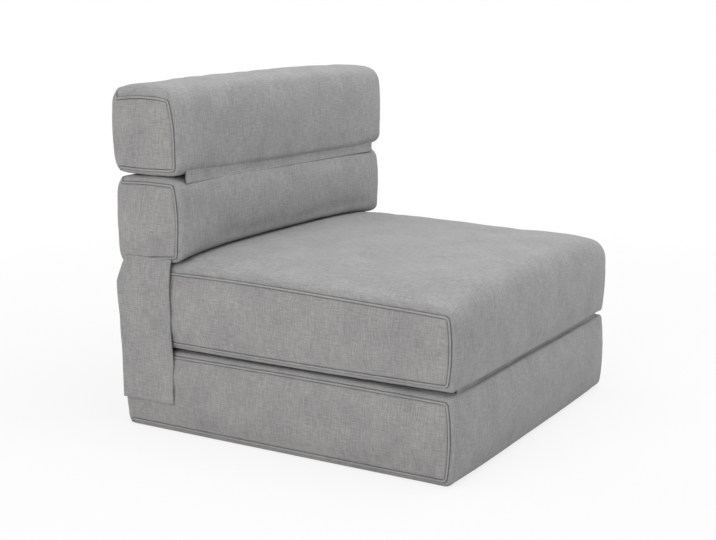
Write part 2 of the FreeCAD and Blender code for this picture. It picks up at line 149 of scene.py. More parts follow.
def fuzzy(name, tone, tip):
    """Loop pile: short matted fibres."""
    n = new_material(name)
    uv = n.add("UVMap", uv_map="weave").outputs[0]
    curl = n.add("TexVoronoi", {"Vector": uv, "Scale": 900.0, "Randomness": 1.0})
    fluff = n.stretched(uv, 1.1, 1.1, 3.0, 0.7)
    height = n.math("ADD", curl.outputs["Distance"], n.math("MULTIPLY", fluff, 0.8))
    colour = n.mixed(n.spread(height, 0.4, 1.2, 0.0, 1.0), tone, tip)
    bump = n.add("Bump", {"Height": height, "Strength": 0.6, "Distance": 0.8 * MM})
    shader = n.add("BsdfPrincipled", {
        "Base Color": colour, "Roughness": 0.95, "Normal": bump.outputs[0], "Sheen Weight": 0.4,
    })
    return n.finish(shader)


def moulded(name, tone, gloss_low, gloss_high, metal=0.0, scratch=0.06):
    """Painted metal or plastic with faint handling marks."""
    n = new_material(name)
    place = n.add("TexCoord").outputs["Object"]
    fine = {"Vector": place, "Scale": 260.0, "Detail": 4.0, "Roughness": 0.7}
    wear = n.add("TexNoise", fine).outputs["Fac"]
    blotch = n.add("TexNoise", {"Vector": place, "Scale": 45.0, "Detail": 2.0}).outputs["Fac"]
    lighter = tuple(min(1.0, c * (1 + 3 * scratch)) for c in tone[:3]) + (1,)
    darker = tuple(c * (1 - 2 * scratch) for c in tone[:3]) + (1,)
    colour = n.mixed(n.spread(blotch, 0.3, 0.7, 0.0, 1.0), darker, lighter)
    rough = n.spread(wear, 0.3, 0.7, gloss_low, gloss_high)
    bump = n.add("Bump", {"Height": wear, "Strength": 0.12, "Distance": 0.2 * MM})
    shader = n.add("BsdfPrincipled", {
        "Base Color": colour, "Roughness": rough, "Metallic": metal, "Normal": bump.outputs[0],
    })
    return n.finish(shader)


CLOTH = woven("woven_cover", grey(0.376), grey(0.238))
PANEL_CLOTH = woven("woven_panel", grey(0.376, 0.014), grey(0.238, 0.012))
# Welt cloth: the cover's weave, finer and a little lighter; the lighter tone is a painted highlight
# on the welt ridges
HIGHLIT_WELT_CLOTH = woven("welt_cloth", grey(0.38, 0.006), grey(0.28, 0.004), pitch=1.4, relief=0.3)
HINGE_CLOTH = woven("hinge_cloth", grey(0.385), grey(0.235), pitch=1.6)
FLAP_CLOTH = woven("flap_cloth", grey(0.385, 0.012), grey(0.228, 0.01), pitch=1.7)
TAPE_CLOTH = woven("zip_tape_cloth", grey(0.16), grey(0.11), pitch=0.9, streak=0.2, relief=0.4)
THREAD = woven("sewing_thread", grey(0.42, 0.01), grey(0.34, 0.01), pitch=0.5, relief=0.5)
HOOKS = moulded("hook_plastic", grey(0.78), 0.4, 0.55)
LOOPS = fuzzy("loop_pile", grey(0.5), grey(0.7))
COIL = moulded("coil_plastic", grey(0.13), 0.32, 0.5)
SLIDER = moulded("slider_metal", grey(0.20), 0.25, 0.42, metal=0.8)


# ------------------------------------------------------------------- meshes
def place_mesh(name, verts, faces, uvs, material, smooth=True):
    """A mesh object from millimetre points, with its weave map in metres."""
    mesh = bpy.data.meshes.new(name)
    mesh.from_pydata((np.asarray(verts, float) * MM).tolist(), [], faces)
    layer = mesh.uv_layers.new(name="weave")
    layer.data.foreach_set("uv", (np.asarray(uvs, float) * MM).astype(np.float32).ravel())
    mesh.polygons.foreach_set("use_smooth", np.full(len(mesh.polygons), smooth))
    mesh.materials.append(material)
    mesh.update()
    item = bpy.data.objects.new(name, mesh)
    scene.collection.objects.link(item)
    return item


def ring_faces(rings, count):
    """Quads between closed rings of equal count."""
    i, j = np.meshgrid(np.arange(rings - 1), np.arange(count), indexing="ij")
    here, after = i * count, (j + 1) % count
    quads = [here + j, here + after, here + count + after, here + count + j]
    return np.stack(quads, -1).reshape(-1, 4)


def tube_faces(base, rings, count):
    """Faces of a tube whose points start at base, with both its ends closed."""
    first, last = range(base, base + count), range(base + (rings - 1) * count, base + rings * count)
    return (ring_faces(rings, count) + base).tolist() + [list(first), list(last)[::-1]]


def ring_uvs(across, along):
    """Corner UVs of ring_faces; across has one value a ring, along one more than the count."""
    rings, count = len(across), len(along) - 1
    i, j = np.meshgrid(np.arange(rings - 1), np.arange(count), indexing="ij")
    corners = ((i, j), (i, j + 1), (i + 1, j + 1), (i + 1, j))
    pairs = [np.stack([across[a], along[b]], -1) for a, b in corners]
    return np.stack(pairs, 2).reshape(-1, 2)


def corners_of(faces):
    """The point of every face corner, in order."""
    return [corner for face in faces for corner in face]


def fix_normals(item):
    work = bmesh.new()
    work.from_mesh(item.data)
    bmesh.ops.recalc_face_normals(work, faces=work.faces)
    work.to_mesh(item.data)
    work.free()


def small_parts(name, points, faces, flat, material):
    """A mesh of many small closed parts; flat turns its points into UVs."""
    points = np.array(points)
    item = place_mesh(name, points, faces, flat(points[corners_of(faces)]), material)
    fix_normals(item)
    return item


def field(points, wavelength, seed, waves=7):
    """A smooth random field between about -1 and 1, from plane waves near one wavelength."""
    chance = np.random.default_rng(seed)
    total = np.zeros(points.shape[:-1])
    for _ in range(waves):
        way = chance.normal(size=3)
        way *= math.tau / (wavelength * chance.uniform(0.7, 1.5)) / np.linalg.norm(way)
        total += np.sin(points @ way + chance.uniform(0, math.tau))
    return total / math.sqrt(waves)


def lengths(points):
    """Running length of an open line of points, from nought."""
    return np.concatenate([[0], np.cumsum(np.linalg.norm(np.diff(points, axis=0), axis=1))])


def read_off(at, length, values):
    """Rows of values that belong to length, read at other lengths."""
    return np.column_stack([np.interp(at, length, column) for column in values.T])


def evened(points, rounds):
    """Smooths an open line in place, with its ends held."""
    for _ in range(rounds):
        points[1:-1] = (points[:-2] + 2 * points[1:-1] + points[2:]) / 4
    return points


# ---------------------------------------------------------- cushion outline
DRAW_IN = 4.5  # how far a face draws in at the ends
DRAW_POWER = 5  # how late along X it does so
END_RADIUS, REAR_END_RADIUS = 8, 12
# For each corner: its level side, its upright side, and the way to it along Y and Z
CORNERS = ((0, 1, 1, -1), (2, 1, 1, 1), (2, 3, -1, 1), (0, 3, -1, -1))
FLAT = 0.35  # crown of a face that lies on the floor
# The end seam is this far in from the rim of the end face, and it leaves the end
# at these marks to run along the two rear edges.
SEAM_IN = 3.5
SEAM_MARKS = (1.35, 3.65)
# Rows of points beside a seam, by their distance, and the length of a corner's arc
SEAM_ROWS = np.array([0.9, 1.8, 2.6, 3.3, 4.0, 4.9, 6.6])
CORNER_ARC = 34.5
ZIP_ROWS = np.array([1.5, 3, 4.5, 6, 7.2, 8.0, 8.7, 9.6, 11.5, 14])
NEAR = 15.0  # width of the end face's outer zone
SPINE_STOP = 0.93  # how near the end face's rings come to its middle line
HALF_WIDTH, CONTACT_HALF = 375, 371
SEAT_LEVEL = 340


def eased(value, low, high):
    t = np.clip((value - low) / (high - low), 0, 1)
    return t * t * (3 - 2 * t)


def end_radius(marks, top):
    """Roundness of the end's edge: fuller at the rear, where the end panel runs on, and on top."""
    rear = eased(marks, 1.2, 1.7) * (1 - eased(marks, 3.3, 3.8))
    upper = eased(marks, 3.3, 3.9) * (1 - eased(marks, 4.9, 5.5))
    return END_RADIUS + (REAR_END_RADIUS - END_RADIUS) * rear + (top - END_RADIUS) * upper


# The seat and the headrest swell above their welts, and the seat's swelling lifts the
# middle of the backrest. Both bolsters stand a little turned on the seat.
def seat_swell(x, y):
    u = np.clip(x / HALF_WIDTH, -1, 1)
    lift = 24.5 + 1.5 * u + 5 * np.maximum(u, 0) ** 4 - 12.5 * np.abs(u) ** 3.2
    lift = lift - 5 * eased(-y, -200, 250)
    lift = lift + 5.5 * (y - 225) / 300 * np.abs(u) ** 6
    return lift * (1 - eased(y, 240, 366))


def seat_top(x, y):
    """Level at which the backrest rests on the seat."""
    u = np.clip(x / CONTACT_HALF, -1, 1)
    return SEAT_LEVEL - 6 * (y / 378) ** 2 - 4.5 * np.abs(u) ** 5 + seat_swell(x, y)


def bolster_turn(name, x):
    """How far a bolster is moved along Y, by its turn on the seat."""
    u = np.clip(x / HALF_WIDTH, -1, 1)
    return -2 - 9 * u if name == "headrest" else -3 - 3.5 * u


class Cushion:
    """The pillow form of one cushion: its outline at any distance along X."""

    def __init__(
        self, name, crowns, radii, draws, contact, seed, draw_y=DRAW_IN, fuller=0.1,
        top_radius=END_RADIUS,
    ):
        low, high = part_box(name + "_cover")
        self.name = name
        self.half = high.x / MM
        self.front, self.rear = low.y / MM, high.y / MM
        self.bottom, self.top = low.z / MM, high.z / MM
        self.crowns, self.radii = crowns, radii
        self.draws, self.contact = draws, contact
        self.flat_bottom = name == "base"
        self.seed = seed
        self.draw_y, self.fuller, self.top_radius = draw_y, fuller, top_radius

    def sides(self, inset, pinch, turned=1.0, wider=0.0):
        """The four sides as circles (y, z, radius): bottom, rear, top and front.

        A side that rests on another cushion stays full until it has turned round the end.
        """
        front = self.front + inset + self.draw_y * pinch
        rear = self.rear - inset - self.draw_y * pinch - (REAR_END_RADIUS - END_RADIUS) * wider
        draws = []
        for draw, full in zip(self.draws, self.contact):
            start = draw if full is None else full
            draws.append((start + (draw - start) * turned) * pinch)
        bottom = self.bottom + inset + (0.2 if self.flat_bottom else draws[0])
        top = self.top - inset - draws[1] - (self.top_radius - END_RADIUS) * wider
        middle_y, middle_z = (front + rear) / 2, (bottom + top) / 2
        spans = (rear - front, top - bottom) * 2
        bends = [span ** 2 / (8 * crown) + crown / 2 for span, crown in zip(spans, self.crowns)]
        return (
            (middle_y, bottom + bends[0], bends[0]), (rear - bends[1], middle_z, bends[1]),
            (middle_y, top - bends[2], bends[2]), (front + bends[3], middle_z, bends[3]),
        )

    def outline(self, inset, pinch, marks, turned=1.0, wider=0.0):
        """Points (y, z) at marks from 0 to 8: four sides and the round corner after each."""
        sides = self.sides(inset, pinch, turned, wider)
        # Round edges grow towards the ends, while the welt turns its corners nearly square.
        rear, top = REAR_END_RADIUS - END_RADIUS, self.top_radius - END_RADIUS
        insets = [inset + wider * more / 2 for more in (rear, rear + top, top, 0)]
        radii = [
            max(r * (1 + self.fuller * pinch) - away * (1 + 1.4 * pinch), 4.0)
            for r, away in zip(self.radii, insets)
        ]
        centres = []
        for (level, upright, way_y, way_z), radius in zip(CORNERS, radii):
            a, b = sides[level], sides[upright]
            z = a[1] + way_z * (a[2] - radius)
            for _ in range(30):
                y = b[0] + way_y * math.sqrt((b[2] - radius) ** 2 - (z - b[1]) ** 2)
                z = a[1] + way_z * math.sqrt((a[2] - radius) ** 2 - (y - a[0]) ** 2)
            centres.append((y, z))

        def way_to(corner, side):
            return math.atan2(centres[corner][1] - side[1], centres[corner][0] - side[0])

        arcs = []
        for index, side in enumerate(sides):
            arcs.append((*side, way_to(index - 1, side), way_to(index, side)))
            after = way_to(index, sides[(index + 1) % 4])
            arcs.append((*centres[index], radii[index], way_to(index, side), after))
        out = np.empty((len(marks), 2))
        for segment, (y, z, bend, start, end) in enumerate(arcs):
            chosen = (marks >= segment) & (marks < segment + 1)
            turn = (end - start + math.pi) % math.tau - math.pi
            angle = start + (marks[chosen] - segment) * turn
            out[chosen, 0] = y + bend * np.cos(angle)
            out[chosen, 1] = z + bend * np.sin(angle)
        return out

    def pinch(self, x):
        return (abs(x) / self.half) ** DRAW_POWER

    def marks(self, step, seam_rows=False, zip_rows=False):
        """Marks round the outline, about a step apart, with rows for the seams and the zip."""
        arc = self.outline(0, 0, np.arange(8.0))
        spans = np.linalg.norm(np.roll(arc, -1, axis=0) - arc, axis=1)
        marks = []
        for segment, span in enumerate(spans):
            count = max(5 if segment % 2 else 6, round(span / step))
            shares = np.arange(count) / count
            if segment in (1, 3):
                seam = SEAM_MARKS[segment // 2] - segment
                if seam_rows:
                    rows = seam + np.concatenate([-SEAM_ROWS[::-1], [0], SEAM_ROWS]) / CORNER_ARC
                    far = np.abs(shares - seam) > SEAM_ROWS[-1] / CORNER_ARC + 0.04
                    shares = np.sort(np.concatenate([shares[far], rows]))
                else:
                    shares = np.array([0, seam, 0.7] if segment == 1 else [0, 0.3, seam])
            if segment == 2 and zip_rows:
                away = np.abs(shares - 0.5) * span
                rows = np.concatenate([-ZIP_ROWS[::-1], [0], ZIP_ROWS])
                shares = np.sort(np.concatenate([shares[away > 17], 0.5 + rows / span]))
            marks.append(segment + shares)
        return np.concatenate(marks)

    def rings(self, straight, turns, near, far):
        """The rings of one whole skin, from the left end's middle to the right end's."""
        kinds = (("turn", turns), ("near", near), ("far", far))
        end = [(kind, value) for kind, values in kinds for value in values]
        middle = [(0, "straight", u) for u in straight]
        return [(-1, *ring) for ring in end[::-1]] + middle + [(1, *ring) for ring in end]

    def skin(self, rings, marks):
        """Points of the skin on its rings, and each ring's running value."""
        radius = end_radius(marks, self.top_radius)
        run = self.half - radius
        grid, values = [], []
        edge = self.outline(END_RADIUS, 1.0, marks, wider=1.0)
        rim = self.outline(END_RADIUS + NEAR, 1.0, marks, wider=1.0)
        middle, reach = (rim.min(0) + rim.max(0)) / 2, (rim.max(0) - rim.min(0)) / 2
        level = max(reach[0] - reach[1], 0)
        spine_y = middle[0] + np.clip(rim[:, 0] - middle[0], -level, level)
        spine = np.column_stack([spine_y, np.full(len(rim), middle[1])])
        length = np.linalg.norm(rim - spine, axis=1)
        for side, kind, value in rings:
            if kind == "straight":
                x = value * run
                yz = self.outline(0, self.pinch(value * (self.half - END_RADIUS)), marks, 0.0)
                values.append(value)
            elif kind == "turn":
                angle = math.radians(value)
                x = side * (run + radius * math.sin(angle))
                pinch = self.pinch(self.half - END_RADIUS * (1 - math.sin(angle)))
                share = 1 - math.cos(angle)
                yz = self.outline(END_RADIUS * share, pinch, marks, share, share)
                values.append(side * (1 + 0.2 * value / 90))
            elif kind == "near":
                yz = self.outline(END_RADIUS + value, 1.0, marks, wider=1.0)
                away = self.from_edge(yz, edge, np.full(len(marks), value))
                x = side * (self.half + self.rise(away))
                values.append(side * (1.2 + 0.3 * value / NEAR))
            else:
                yz = spine + (rim - spine) * (1 - value)
                away = self.from_edge(yz, edge, NEAR + value * length)
                x = side * (self.half + self.rise(away))
                values.append(side * (1.5 + value))
            grid.append(np.column_stack([x, yz]))
        return self.reformed(np.array(grid)), np.array(values)

    def from_edge(self, yz, edge, ring):
        """Distance to the rim of the end face, rounded off where two sides are near."""
        low, high = edge.min(0), edge.max(0)
        gaps = np.maximum(np.concatenate([yz - low, high - yz], axis=1), 0.5)
        smooth = (gaps ** -3.0).sum(1) ** (-1 / 3)
        share = eased(ring, 0, 14)
        return ring * (1 - share) + smooth * share

    def reformed(self, grid):
        """The skin as the stuffing leaves it: swollen tops, bolsters a little turned."""
        x, y, z = grid[..., 0], grid[..., 1], grid[..., 2]
        u = np.clip(x / HALF_WIDTH, -1, 1)
        up = np.clip((z - self.bottom) / (self.top - self.bottom), 0, 1)
        back = np.clip((y - self.front) / (self.rear - self.front), 0, 1)
        height = np.abs(z - (self.bottom + self.top) / 2)
        # Nothing moves at the zip, which lies in a flat recess.
        zip_calm = (1 - eased(height, 14, 46)) * (1 - eased(np.abs(x), 250, 305))
        zip_calm = zip_calm * eased(back, 0.5, 0.9)
        dy, dz = np.zeros_like(x), np.zeros_like(x)
        left = np.maximum(-u, 0) ** 5
        right = np.maximum(u, 0) ** 8
        if self.name == "base":
            dy = 5 * back * left
        elif self.name == "seat":
            dz = seat_swell(x, y) * up ** 1.5
        elif self.name == "backrest":
            dz = (seat_top(x, y) + 0.8 - self.bottom) * (1 - up) ** 1.5 - 5 * right * up ** 3
            dy = bolster_turn(self.name, x) + 6 * (1 - back) * left
            dy = dy - 1.5 * (1 - back) * right + (5 + 4 * left) * back
        elif self.name == "headrest":
            dz = (10.5 + 5.5 * (1 - u * u) + 7 * u) * up ** 1.5 + 5 * right * (1 - up) ** 3
            dy = bolster_turn(self.name, x) + (1 - back) * left * (3 + 12 * (up - 0.5))
            dy = dy - 3 * (1 - back) * right + (3 + 3.5 * left) * back
        moved = grid.copy()
        moved[..., 1] += dy * (1 - zip_calm)
        moved[..., 2] += dz * (1 - zip_calm)
        return moved

    def rise(self, away):
        """How far the end face domes out at a distance from its rim."""
        return 4.4 * (1 - np.exp(-away / 15))


# Crowns of the bottom, rear, top and front, then radii of the lower rear, upper rear,
# upper front and lower front edge. Draws and contacts are those of bottom and top.
CUSHIONS = {
    "base": Cushion(
        "base", (FLAT, 8, 2.6, 6), (22, 22, 8, 18), draws=(DRAW_IN, 0.3), contact=(None, 0.4),
        seed=11,
    ),
    "seat": Cushion(
        "seat", (2.6, 8, 6, 6), (22, 22, 38, 8), draws=(0.3, DRAW_IN), contact=(0.4, None),
        seed=23, top_radius=14,
    ),
    "backrest": Cushion(
        "backrest", (2.6, 8, 2.6, 8), (22, 22, 17, 17), draws=(-3, 2.0), contact=(-3, 0.4),
        seed=37, draw_y=0.5, fuller=0.7,
    ),
    "headrest": Cushion(
        "headrest", (2.6, 8, 6, 8), (22, 22, 22, 17), draws=(-1, 0), contact=(0.4, None),
        seed=41, draw_y=0.5, fuller=0.7, top_radius=18,
    ),
}
SIDES = (("left", -1), ("right", 1))


def keep(item, body, replaced=()):
    if replaced:
        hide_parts(*replaced)
    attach(item, body)


def seam_places(rings, marks, side):
    """The ring of one end's seam, and the marks at which it leaves the end below and above."""
    ring = next(
        i for i, (s, kind, v) in enumerate(rings) if s == side and kind == "near" and v == SEAM_IN
    )
    return ring, *(int(np.argmin(np.abs(marks - mark))) for mark in SEAM_MARKS)


def seam_path(rings, marks):
    """Each end's seam as grid places: along a rear edge, round the end and back along the other."""
    middle = int(np.argmin([abs(v) if kind == "straight" else 9 for _, kind, v in rings]))
    paths = {}
    for label, side in SIDES:
        ring, low_mark, high_mark = seam_places(rings, marks, side)
        run = list(range(middle, ring, side))
        around = [(ring, j % len(marks)) for j in range(high_mark, len(marks) + low_mark + 1)]
        paths[label] = [(i, high_mark) for i in run] + around + [(i, low_mark) for i in run[::-1]]
    return paths


def resampled(points, step):
    """An open line of points at even steps, slightly smoothed."""
    for _ in range(2):
        length = lengths(points)
        at = np.linspace(0, length[-1], max(4, round(length[-1] / step)))
        points = evened(read_off(at, length, points), 2)
    return points


def distance_to(grid, paths):
    """Distance of every grid point to the nearest path."""
    points = np.concatenate([resampled(path, 0.8) for path in paths])
    tree = KDTree(len(points))
    for index, point in enumerate(points):
        tree.insert(point, index)
    tree.balance()
    flat = grid.reshape(-1, 3)
    return np.array([tree.find(point)[2] for point in flat]).reshape(grid.shape[:2])


# --------------------------------------------------------------- simulation
SIM_STEP = 11
SIM_FRAMES = 20
SIM_RINGS = dict(
    straight=np.linspace(-1, 1, 67), turns=(45, 90), near=(SEAM_IN, 8.0),
    far=(0.0, 0.12, 0.26, 0.42, 0.6, 0.78, SPINE_STOP),
)


CLOTH_SETTINGS = dict(
    quality=5, mass=0.25, tension_stiffness=12, compression_stiffness=12, shear_stiffness=4,
    bending_stiffness=0.4, air_damping=2, use_pressure=True, uniform_pressure_force=1.2,
    shrink_min=-0.02, vertex_group_mass="held",
)


def cloth_on(name, grid, held):
    """A cloth with its seams held, ready to be stepped."""
    rings, count = grid.shape[:2]
    mesh = bpy.data.meshes.new(name)
    mesh.from_pydata((grid.reshape(-1, 3) * MM).tolist(), [], ring_faces(rings, count).tolist())
    item = bpy.data.objects.new(name, mesh)
    scene.collection.objects.link(item)
    group = item.vertex_groups.new(name="held")
    group.add(np.flatnonzero(held.ravel() > 0.5).tolist(), 1.0, "REPLACE")
    cloth = item.modifiers.new("Cloth", "CLOTH")
    for setting, value in CLOTH_SETTINGS.items():
        setattr(cloth.settings, setting, value)
    cloth.settings.effector_weights.gravity = 0
    cloth.collision_settings.use_collision = False
    cloth.point_cache.frame_start = 1
    cloth.point_cache.frame_end = SIM_FRAMES
    return item


def discard(item):
    mesh = item.data
    bpy.data.objects.remove(item)
    bpy.data.meshes.remove(mesh)


def settle(jobs):
    """Steps every cloth together and returns how far each grid point has moved."""
    cloths = {key: cloth_on(f"cloth_{key}", *job) for key, job in jobs.items()}
    for number in range(1, SIM_FRAMES + 1):
        scene.frame_set(number)
    graph = bpy.context.evaluated_depsgraph_get()
    moved = {}
    for key, item in cloths.items():
        found = item.evaluated_get(graph).data
        co = np.empty(len(found.vertices) * 3, np.float32)
        found.vertices.foreach_get("co", co)
        grid = jobs[key][0]
        moved[key] = co.astype(float).reshape(grid.shape) / MM - grid
    for item in cloths.values():
        discard(item)
    scene.frame_set(1)
    return moved


def softened(moved, cap):
    """Limits how far points have moved, gently."""
    size = np.maximum(np.linalg.norm(moved, axis=-1, keepdims=True), 1e-9)
    return moved * cap * np.tanh(size / cap) / size


def smoothed(moved, rounds):
    for _ in range(rounds):
        padded = np.concatenate([moved[:1], moved, moved[-1:]])
        beside = np.roll(moved, 1, 1) + np.roll(moved, -1, 1)
        moved = (padded[:-2] + padded[2:] + beside + 2 * moved) / 6
    return moved


def carried(moved, values, marks, fine_values, fine_marks):
    """Moves of a coarse grid, carried to a finer one."""
    rows = np.array([
        [np.interp(fine_values, values, moved[:, j, k]) for k in range(3)]
        for j in range(len(marks))
    ])
    out = np.empty((len(fine_values), len(fine_marks), 3))
    for k in range(3):
        for i in range(len(fine_values)):
            out[i, :, k] = np.interp(fine_marks, marks, rows[:, k, i], period=8)
    return out


jobs, coarse = {}, {}
for name, cushion in CUSHIONS.items():
    rings = cushion.rings(**SIM_RINGS)
    marks = cushion.marks(SIM_STEP)
    grid, values = cushion.skin(rings, marks)
    held = np.zeros(grid.shape[:2])
    for path in seam_path(rings, marks).values():
        for i, j in path:
            held[i, j] = 1
    jobs[name] = (grid, held)
    coarse[name] = (values, marks)
MOVED = settle(jobs)


# ----------------------------------------------------------------- cushions
STEP = 6.0
ZIP_HALF = 250
ZIP_DEPTH = 4.6
MOST_SETTLED = 2.2  # the most that the simulation may move a point
TURNS = (15, 30, 45, 58, 69, 79, 90)
NEAR_RINGS = (0.7, 1.3, 2.0, 2.7, SEAM_IN, 4.3, 5.0, 5.6, 6.3, 7.4, 9.2, 12.0)
FAR_RINGS = tuple(np.linspace(0, 1, 16) ** 1.15 * SPINE_STOP)
PANEL_WRAP = 312.0  # how far from the middle the end panel's rear seam lies
WELT_RADIUS = 1.95
# The cover lies this far under an end panel, which is somewhat thicker.
PANEL_SUNK, PANEL_THICKNESS = 0.9, 1.7


def normals_of(grid):
    along = np.gradient(grid, axis=0)
    around = (np.roll(grid, -1, 1) - np.roll(grid, 1, 1)) / 2
    normal = np.cross(around, along)
    return normal / np.maximum(np.linalg.norm(normal, axis=-1, keepdims=True), 1e-9)


def fine_rings(cushion):
    run = cushion.half - REAR_END_RADIUS
    straight = np.linspace(-1, 1, round(2 * run / STEP))
    extra = [0.0]
    for place, room, beside in (
        (ZIP_HALF, 5, (-4, -1, 0.4, 1.6, 4)), (PANEL_WRAP, 4, (-2.4, -1.0, 0, 1.0, 2.4)),
    ):
        straight = straight[np.abs(np.abs(straight) * run - place) > room]
        extra += [side * (place + away) / run for side in (-1, 1) for away in beside]
    straight = np.unique(np.round(np.concatenate([straight, extra]), 6))
    return cushion.rings(straight, TURNS, NEAR_RINGS, FAR_RINGS)


def cushion_skin(cushion):
    """The skin with its settled form, zip recess and seam grooves."""
    rings = fine_rings(cushion)
    marks = cushion.marks(STEP, seam_rows=True, zip_rows=True)
    grid, values = cushion.skin(rings, marks)
    paths = seam_path(rings, marks)

    def on_paths(table):
        return {key: np.array([table[i, j] for i, j in path]) for key, path in paths.items()}

    away = distance_to(grid, on_paths(grid).values())
    # Most of the simulation's broad swelling is left out, because the skin has its own.
    moved = MOVED[cushion.name]
    moved = moved - 0.8 * smoothed(moved, 60)
    moved = smoothed(softened(moved, MOST_SETTLED), 1)
    moved = carried(moved, *coarse[cushion.name], values, marks)
    normal = normals_of(grid)
    hold = eased(away, 2, 26)
    shares = np.array([abs(v) - 1.5 if abs(v) > 1.5 else 0.0 for v in values])
    calm = (1 - eased(shares, 0.55, SPINE_STOP * 0.98))[:, None]
    gather = field(grid, 17, cushion.seed + 1, 9) * 0.36 * np.exp(-away / 10) * eased(away, 0, 4)
    broad = field(grid, 170, cushion.seed + 2) * 0.45 * hold
    small = field(grid, 46, cushion.seed + 3, 9) * 0.15 * hold
    uneven = (gather + broad + small) * calm
    shape = grid + moved * (hold * calm)[..., None] + normal * uneven[..., None]
    if cushion.name in ("backrest", "headrest"):
        # The lower front edge of a bolster kicks forward.
        low = 1 - eased(grid[..., 2], cushion.bottom + 4, cushion.bottom + 62)
        ahead = 1 - eased(grid[..., 1], cushion.front + 8, cushion.front + 70)
        shape[..., 1] -= 5.0 * low ** 1.5 * ahead
    # Faces that carry, or rest on, another cushion stay at the level they share.
    lower, upper = cushion.bottom - 0.9, cushion.top + 0.9
    rest = seat_top(grid[..., 0], grid[..., 1])
    if cushion.flat_bottom:
        lower = 0.2
        flat = eased(grid[..., 2], 6, 30)
        shape[..., 2] = grid[..., 2] + (shape[..., 2] - grid[..., 2]) * flat
    if cushion.name == "backrest":
        lower = rest + 0.4 - 4.0 * (np.abs(grid[..., 0]) / cushion.half) ** 16
    shape[..., 2] = np.maximum(shape[..., 2], lower)
    if cushion.name == "seat":
        carries = eased(grid[..., 1], 165, 214)
        shape[..., 2] -= np.maximum(shape[..., 2] - rest + 0.3, 0) * carries
    elif cushion.name != "headrest":
        shape[..., 2] = np.minimum(shape[..., 2], upper)
    # Recess for the zip in the rear face
    rear = (grid[..., 1] > cushion.rear - 14) & (marks[None, :] > 2) & (marks[None, :] < 3)
    middle = (cushion.bottom + cushion.top) / 2
    height, reach = np.abs(grid[..., 2] - middle), np.abs(grid[..., 0])
    inside = (1 - eased(height, 7.6, 9.2)) * (1 - eased(reach, ZIP_HALF, ZIP_HALF + 1.6))
    lip = np.exp(-((height - 10.5) / 2.6) ** 2) * (1 - eased(reach, ZIP_HALF, ZIP_HALF + 8))
    near_zip = (1 - eased(height, 12, 40)) * (1 - eased(reach, ZIP_HALF, ZIP_HALF + 40))
    settled = grid + (shape - grid) * (1 - near_zip[..., None])
    shape = np.where(rear[..., None], settled, shape)
    shape[..., 1] = np.where(rear, shape[..., 1] + 0.5 * lip, shape[..., 1])
    sunk = shape[..., 1] * (1 - inside) + (cushion.rear - ZIP_DEPTH) * inside
    shape[..., 1] = np.where(rear, sunk, shape[..., 1])
    # Grooves on both sides of the welt, with the cloth rising to them
    lines = on_paths(shape)
    away = distance_to(shape, lines.values())
    normal = normals_of(shape)
    groove = -2.5 * (1 - eased(away, 2.1, 3.5)) + 0.3 * np.exp(-((away - 5.0) / 1.5) ** 2)
    seats = on_paths(normal)
    shape = shape + normal * groove[..., None]
    # A shallow seam where the end panel, round the rear corner, meets the zip panel
    run = np.abs(np.abs(shape[..., 0]) - PANEL_WRAP)
    dip = 1.1 * np.exp(-(run / 1.1) ** 2) - 0.25 * np.exp(-((run - 3) / 1.4) ** 2)
    shape[..., 1] -= np.where(rear & (away > 4.5), dip, 0)
    return rings, marks, shape, lines, seats


def panel_cells(cushion, rings, marks, side):
    """Which cells of the skin are an end panel: the end face, and a strip round the rear corner."""
    ring, low_mark, high_mark = seam_places(rings, marks, side)
    cells = np.zeros((len(rings) - 1, len(marks)), bool)
    cells[slice(None, ring) if side < 0 else slice(ring, None)] = True
    run = cushion.half - REAR_END_RADIUS
    wrapped = PANEL_WRAP - 0.2
    near = np.array([s == side or s == 0 and side * v * run >= wrapped for s, _, v in rings])
    behind = (np.arange(len(marks)) >= low_mark) & (np.arange(len(marks)) < high_mark)
    return cells | (near[:-1] & near[1:])[:, None] & behind[None, :]


def thick_patch(name, points, normals, faces, uv, thickness, material):
    """A closed piece of cloth: a patch of faces, its back further in, and walls at its edge."""
    used = np.unique(np.concatenate([np.asarray(face) for face in faces]))
    place = {int(old): new for new, old in enumerate(used)}
    count = len(used)
    verts = np.concatenate([points[used], points[used] - normals[used] * thickness])
    front = [[place[int(v)] for v in face] for face in faces]
    edges = {}
    for face in front:
        for a, b in zip(face, face[1:] + face[:1]):
            if (b, a) in edges:
                del edges[(b, a)]
            else:
                edges[(a, b)] = True
    walls = [[b, a, a + count, b + count] for a, b in edges]
    back = [[v + count for v in face][::-1] for face in front]
    every = front + back + walls
    maps = np.concatenate([uv[used]] * 2)
    return place_mesh(name, verts, every, maps[corners_of(every)], material)


